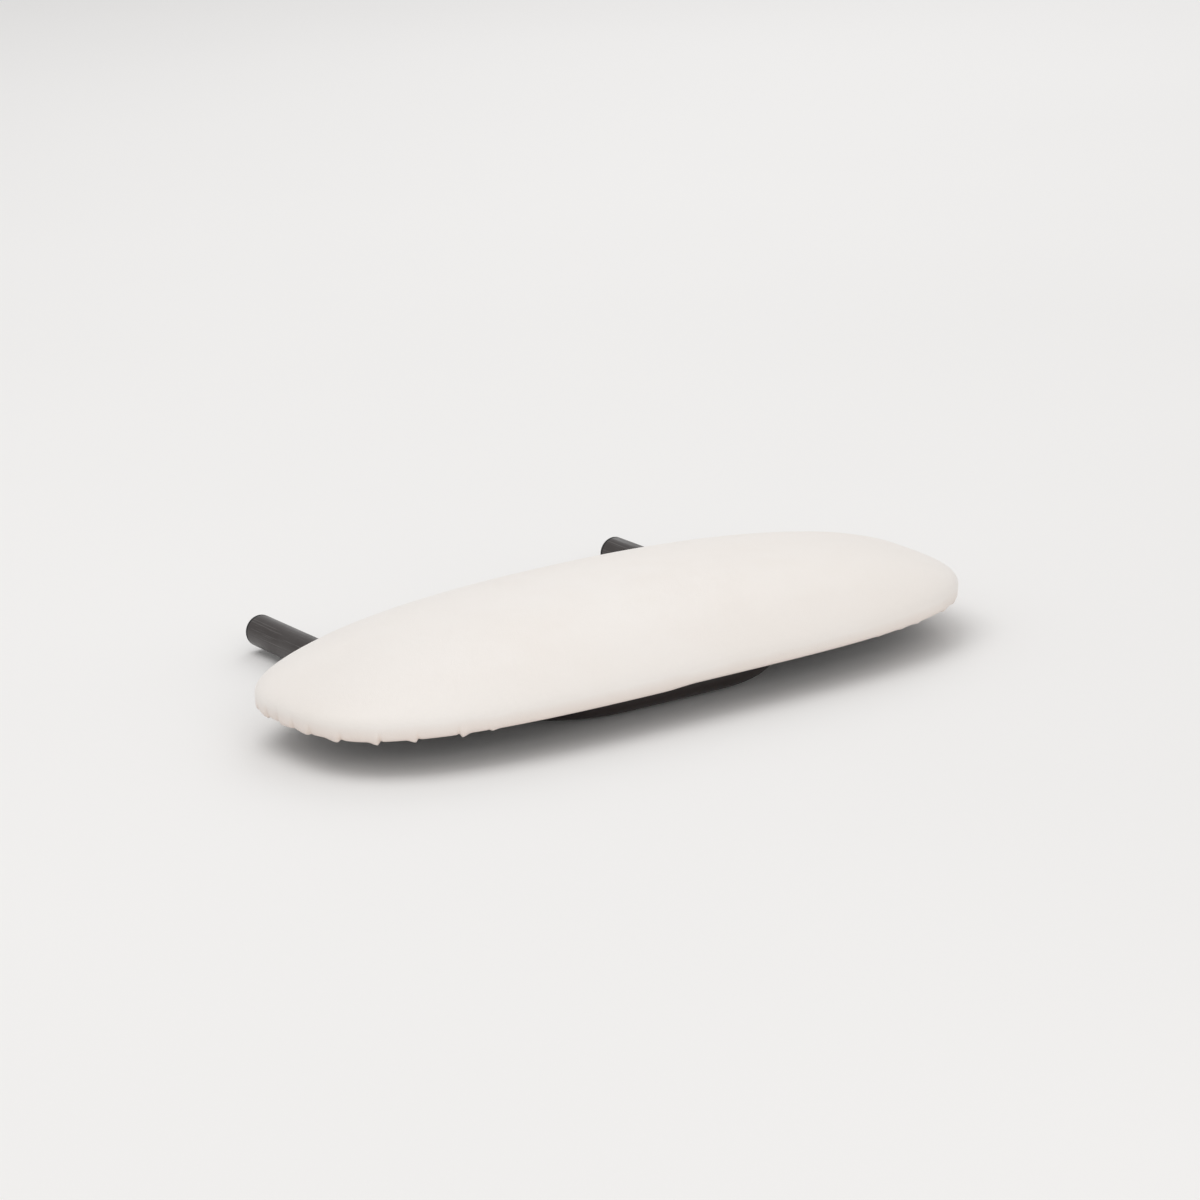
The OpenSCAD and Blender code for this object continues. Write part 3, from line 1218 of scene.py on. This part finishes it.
@dataclass
class ButtonScrew:
    """A button-head screw with a hexagon socket and a rolled thread, its head down."""

    node: str
    steps: int = 36
    pitch: float = 0.8 * MM
    core: float = 0.84
    socket: float = 1.5 * MM
    crisp: float = math.radians(46)
    place: Vector = field(init=False)
    head: float = field(init=False)
    rise: float = field(init=False)
    length: float = field(init=False)

    def __post_init__(self) -> None:
        """Reads the head's size and the screw's length from its CAD node."""
        low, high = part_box(self.node)
        self.place = Vector(((low.x + high.x) / 2, (low.y + high.y) / 2, low.z))
        self.head = (high.x - low.x) / 2
        self.length = high.z - low.z
        self.rise = self.head / HEAD_PER_THREAD * RISE_PER_THREAD

    def profile(self) -> list[tuple[float, float, bool]]:
        """The rings from the socket's floor, round the head and up the thread.

        Returns:
            Radius, height and whether the ring is a hexagon.
        """
        shank = self.head / HEAD_PER_THREAD / 2
        rings = [(self.socket * 0.55, 1.75 * MM, True), (self.socket, 1.5 * MM, True),
                 (self.socket, 0.16 * MM, True), (self.socket * 1.10, 0.03 * MM, True),
                 (self.socket * 1.42, 0.0, False), (self.socket * 1.55, 0.02 * MM, False)]
        for a in range(12, 91, 13):
            r = math.radians(a)
            rings.append((self.head * (0.44 + 0.56 * math.sin(r)),
                          (self.rise - 0.25 * MM) * (1 - math.cos(r)), False))
        rings += [(self.head, self.rise - 0.10 * MM, False),
                  (self.head - 0.1 * MM, self.rise, False),
                  (shank, self.rise, False), (shank, self.rise + 1.6 * MM, False)]
        z = self.rise + 2.0 * MM
        while z < self.length - 1.0 * MM:
            rings += [(shank * self.core, z, False), (shank, z + 0.5 * self.pitch, False)]
            z += self.pitch
        rings += [(shank * self.core, self.length - 0.5 * MM, False),
                  (shank * 0.72, self.length, False)]
        return rings

    def build(self, finish: bpy.types.Material) -> bpy.types.Object:
        """Makes the screw.

        Args:
            finish: Its plating.

        Returns:
            The screw.
        """
        bm = bmesh.new()
        order = bm.verts.layers.int.new("order")
        rings: list[list[bmesh.types.BMVert]] = []
        for radius, z, six in self.profile():
            rings.append(next_ring(bm, order, rings[-1] if rings else [], self.steps))
            for v in rings[-1]:
                a = 2 * math.pi * v[order] / self.steps
                r = radius / math.cos((a % (math.pi / 3)) - math.pi / 6) if six else radius
                v.co = (r * math.cos(a), r * math.sin(a), z)
        for ring in (rings[0], rings[-1]):
            close_ring(bm, ring)
        bmesh.ops.translate(bm, vec=self.place, verts=bm.verts)
        bmesh.ops.recalc_face_normals(bm, faces=bm.faces)
        made = finished(self.node + "_threaded", bm, finish)
        edges = made.modifiers.new("crisp_edges", "EDGE_SPLIT")
        edges.split_angle = self.crisp
        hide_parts(self.node)
        return made


# ---------------------------------------------------------------------------
# The frame's own pieces
# ---------------------------------------------------------------------------
class EdgeBreak(Enum):
    """How far a kept piece's sharp edges are eased, in metres."""

    NONE = 0.0
    STAMPED = 0.35 * MM
    TURNED = 0.2 * MM
    SAWN = 0.6 * MM


@dataclass
class KeptPiece:
    """A CAD node whose shape is right, given its finish and eased edges."""

    node: str
    finish: bpy.types.Material
    ease: EdgeBreak = EdgeBreak.NONE
    sharpest: float = math.radians(38)

    def dress(self) -> None:
        """Gives the node its material and eases its edges."""
        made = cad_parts[self.node]
        made.data.materials.clear()
        made.data.materials.append(self.finish)
        if self.ease is not EdgeBreak.NONE:
            weld = made.modifiers.new("weld", "WELD")
            weld.merge_threshold = 1e-6
            bevel = made.modifiers.new("eased_edges", "BEVEL")
            bevel.width, bevel.segments, bevel.limit_method = self.ease.value, 2, "ANGLE"
            bevel.angle_limit, bevel.harden_normals = self.sharpest, False
            bevel.use_clamp_overlap = True


# ---------------------------------------------------------------------------
# Camera, light and floor
# ---------------------------------------------------------------------------
@dataclass(frozen=True)
class Eye:
    """The camera: where it stands and how it is turned."""

    place: tuple[float, float, float] = (-1.38408, -2.29311, 0.81824)
    yaw: float = 31.5424
    pitch: float = -16.2844
    roll: float = -3.0407
    lens: float = 146.066
    sensor: float = 36.0
    nearest: float = 0.05
    farthest: float = 50.0

    def set_up(self) -> None:
        """Makes the scene's camera."""
        y, p, r = (math.radians(a) for a in (self.yaw, self.pitch, self.roll))
        ahead = Vector((math.sin(y) * math.cos(p), math.cos(y) * math.cos(p), math.sin(p)))
        right = Vector((math.cos(y), -math.sin(y), 0.0))
        up = right.cross(ahead)
        right, up = right * math.cos(r) + up * math.sin(r), up * math.cos(r) - right * math.sin(r)
        turn = Matrix((right, up, -ahead)).transposed().to_4x4()
        data = bpy.data.cameras.new("eye")
        data.lens, data.sensor_width, data.sensor_fit = self.lens, self.sensor, "HORIZONTAL"
        data.clip_start, data.clip_end = self.nearest, self.farthest
        eye = bpy.data.objects.new("eye", data)
        eye.matrix_world = Matrix.Translation(self.place) @ turn
        scene = bpy.context.scene
        scene.collection.objects.link(eye)
        scene.camera = eye
        scene.view_settings.view_transform = "Standard"


@dataclass(frozen=True)
class SoftBox:
    """A large soft lamp aimed at a point."""

    name: str
    place: tuple[float, float, float]
    aim: tuple[float, float, float]
    size: float
    power: float
    colour: tuple[float, float, float] = (1.0, 1.0, 1.0)

    def hang(self) -> None:
        """Adds the lamp to the scene."""
        data = bpy.data.lights.new(self.name, "AREA")
        data.shape, data.size = "SQUARE", self.size
        data.energy, data.color = self.power, self.colour
        lamp = bpy.data.objects.new(self.name, data)
        lamp.location = self.place
        towards = Vector(self.aim) - Vector(self.place)
        lamp.rotation_euler = towards.to_track_quat("-Z", "Y").to_euler()
        bpy.context.scene.collection.objects.link(lamp)


@dataclass(frozen=True)
class Studio:
    """The pale floor, the even surround and the soft lamps."""

    floor: tuple[float, float, float] = (0.91, 0.905, 0.90)
    floor_half: float = 12.0
    gap: float = 0.3 * MM
    sky: tuple[float, float, float] = (1.0, 0.995, 0.99)
    surround: float = 0.66

    def set_up(self) -> None:
        """Builds the studio."""
        self.lay_floor()
        self.surround_scene()
        for lamp in (
            SoftBox("key", place=(-0.7, 0.3, 2.5), aim=(0.0, -0.05, 0.03), size=2.0, power=17.0,
                    colour=(1.0, 0.985, 0.97)),
            SoftBox("front_fill", place=(-0.6, -2.7, 1.0), aim=(0.0, -0.05, 0.02), size=1.6,
                    power=14.0, colour=(1.0, 0.98, 0.96)),
            SoftBox("rim", place=(1.5, 1.7, 1.5), aim=(0.0, 0.0, 0.03), size=1.4, power=7.0),
        ):
            lamp.hang()

    def lay_floor(self) -> None:
        """Lays the pale floor just under the armrest."""
        bm = bmesh.new()
        bmesh.ops.create_grid(bm, x_segments=4, y_segments=4, size=self.floor_half)
        low = cad_bounds[0].z - self.gap
        for v in bm.verts:
            v.co.z = low
        mesh = bpy.data.meshes.new("studio_floor")
        bm.to_mesh(mesh)
        bm.free()
        s = Shader("pale_floor")
        tone = s.remap(s.noise(1.5, 2.0), 0.3, 0.7, 0.0, 1.0)
        s.surface(Base_Color=s.mix(tone, self.floor, tuple(0.985 * c for c in self.floor)),
                  Roughness=0.85, Specular_IOR_Level=0.2)
        mesh.materials.append(s.material)
        floor = bpy.data.objects.new("studio_floor", mesh)
        bpy.context.scene.collection.objects.link(floor)

    def surround_scene(self) -> None:
        """Lights the scene evenly from all sides."""
        world = bpy.data.worlds.new("surround")
        world.use_nodes = True
        back = world.node_tree.nodes["Background"]
        back.inputs["Color"].default_value = (*self.sky, 1.0)
        back.inputs["Strength"].default_value = self.surround
        bpy.context.scene.world = world


@dataclass
class Armrest:
    """The whole armrest: cushion, lining, staples and every kept piece."""

    outline: Outline = field(default_factory=Outline.of_cover)

    def build(self) -> list[str]:
        """Builds and dresses every piece.

        Returns:
            The names of the pieces and of the kept nodes.
        """
        hem, pad_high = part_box("upholstery_cover")
        made = [Cushion(self.outline).build(CreamVinyl().make(hem.z))]
        zinc = ZincSteel("staple_zinc").make()
        rows = {n: StapleRow(n) for n in ("cover_staples", "lining_staples")}
        made.append(UndersideLining(self.outline).build(
            BlackFelt().make(), rows["lining_staples"].staples))
        made += [row.build(zinc) for row in rows.values()]
        board_low, board_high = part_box("base_board")
        coat = PowderCoat("frame_powder_coat", rubbed_from=pad_high.y).make()
        clip_coat = PowderCoat("clip_powder_coat", roughness=0.40).make()
        steel = ZincSteel("screw_zinc", colour=(0.50, 0.50, 0.51), roughness=0.32).make()
        nut = ZincSteel("nut_zinc", colour=(0.62, 0.60, 0.52), roughness=0.36).make()
        plug = MouldedPlug().make()
        kept = [
            KeptPiece("support_frame", coat),
            KeptPiece("base_board", BirchPlywood().make(board_low.z, board_high.z), EdgeBreak.SAWN),
            KeptPiece("comfort_foam", Foam("soft_foam", colour=(0.86, 0.80, 0.55)).make()),
            KeptPiece("firm_foam",
                      Foam("firm_foam", colour=(0.66, 0.62, 0.48), cell=1300.0).make()),
        ]
        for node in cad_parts:
            if node.startswith("end_plug"):
                kept.append(KeptPiece(node, plug))
            elif node.startswith("frame_clip"):
                kept.append(KeptPiece(node, clip_coat, EdgeBreak.STAMPED))
            elif node.startswith("clip_screw"):
                made.append(ButtonScrew(node).build(steel))
            elif node.startswith("t_nut"):
                kept.append(KeptPiece(node, nut, EdgeBreak.TURNED))
        for piece in kept:
            piece.dress()
        return [o.name for o in made] + [k.node for k in kept]


def main() -> None:
    """Builds the camera, the studio and the armrest."""
    logging.basicConfig(level=logging.INFO, format="%(name)s: %(message)s")
    Eye().set_up()
    Studio().set_up()
    for name in Armrest().build():
        log.info("made %s", name)


if __name__ == "__main__":
    main()
